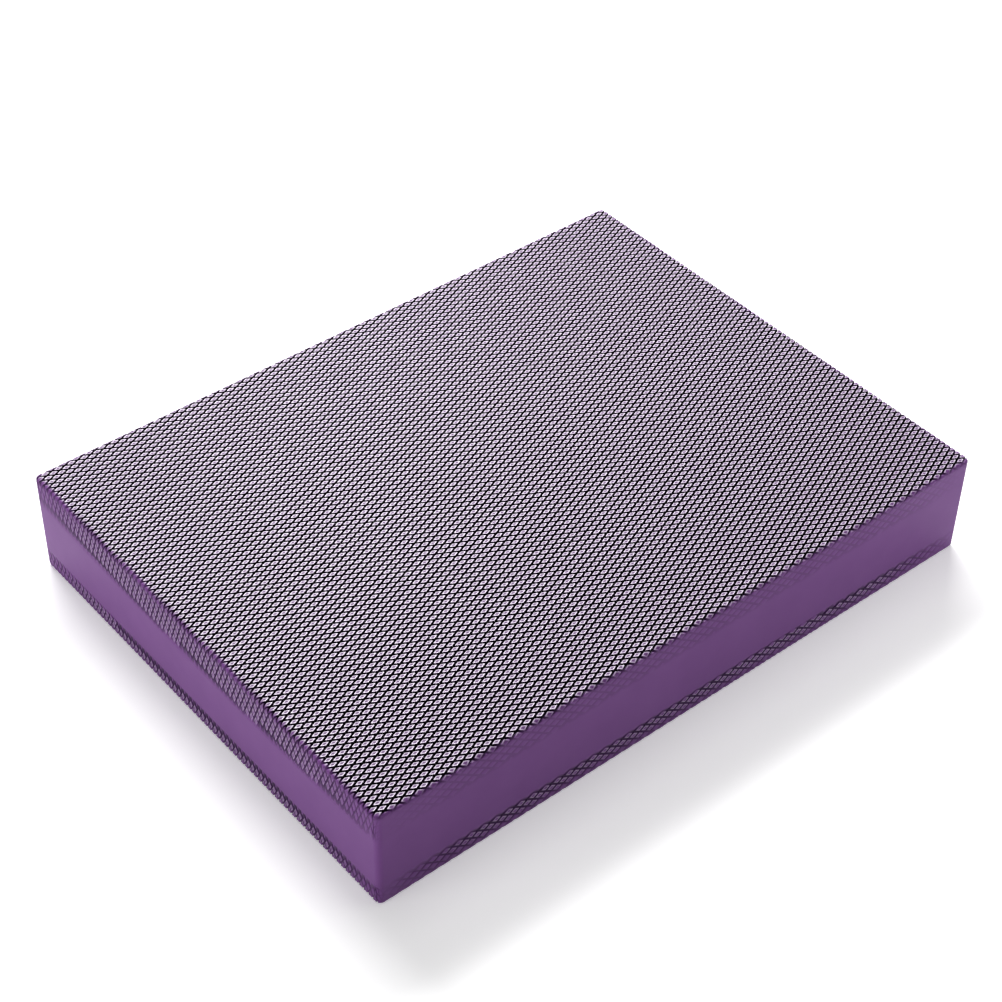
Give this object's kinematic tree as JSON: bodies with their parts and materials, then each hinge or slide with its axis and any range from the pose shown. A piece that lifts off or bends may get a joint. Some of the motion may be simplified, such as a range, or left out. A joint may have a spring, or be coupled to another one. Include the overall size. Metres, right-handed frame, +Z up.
{
  "type": "balance pad",
  "caption": "Rectangular foam balance pad with rounded edges: plain core slabs between diamond-embossed skins whose lips turn down the sides, and a smooth side band.",
  "frame": {"origin": "middle of the underside, on the plane that the pad rests on", "axes": "+X along the long side, +Y along the short side, +Z up through the thickness"},
  "size_m": [0.4, 0.3, 0.0635],
  "materials": {
    "embossed_foam": "satin",
    "smooth_foam": "satin",
    "core_foam": "matte"
  },
  "bodies": {
    "root": {"top_skin": "embossed_foam", "bottom_skin": "embossed_foam", "side_band": "smooth_foam", "core_slab_1": "core_foam", "core_slab_2": "core_foam", "core_slab_3": "core_foam", "core_slab_4": "core_foam", "core_slab_5": "core_foam"}
  },
  "joints": []
}
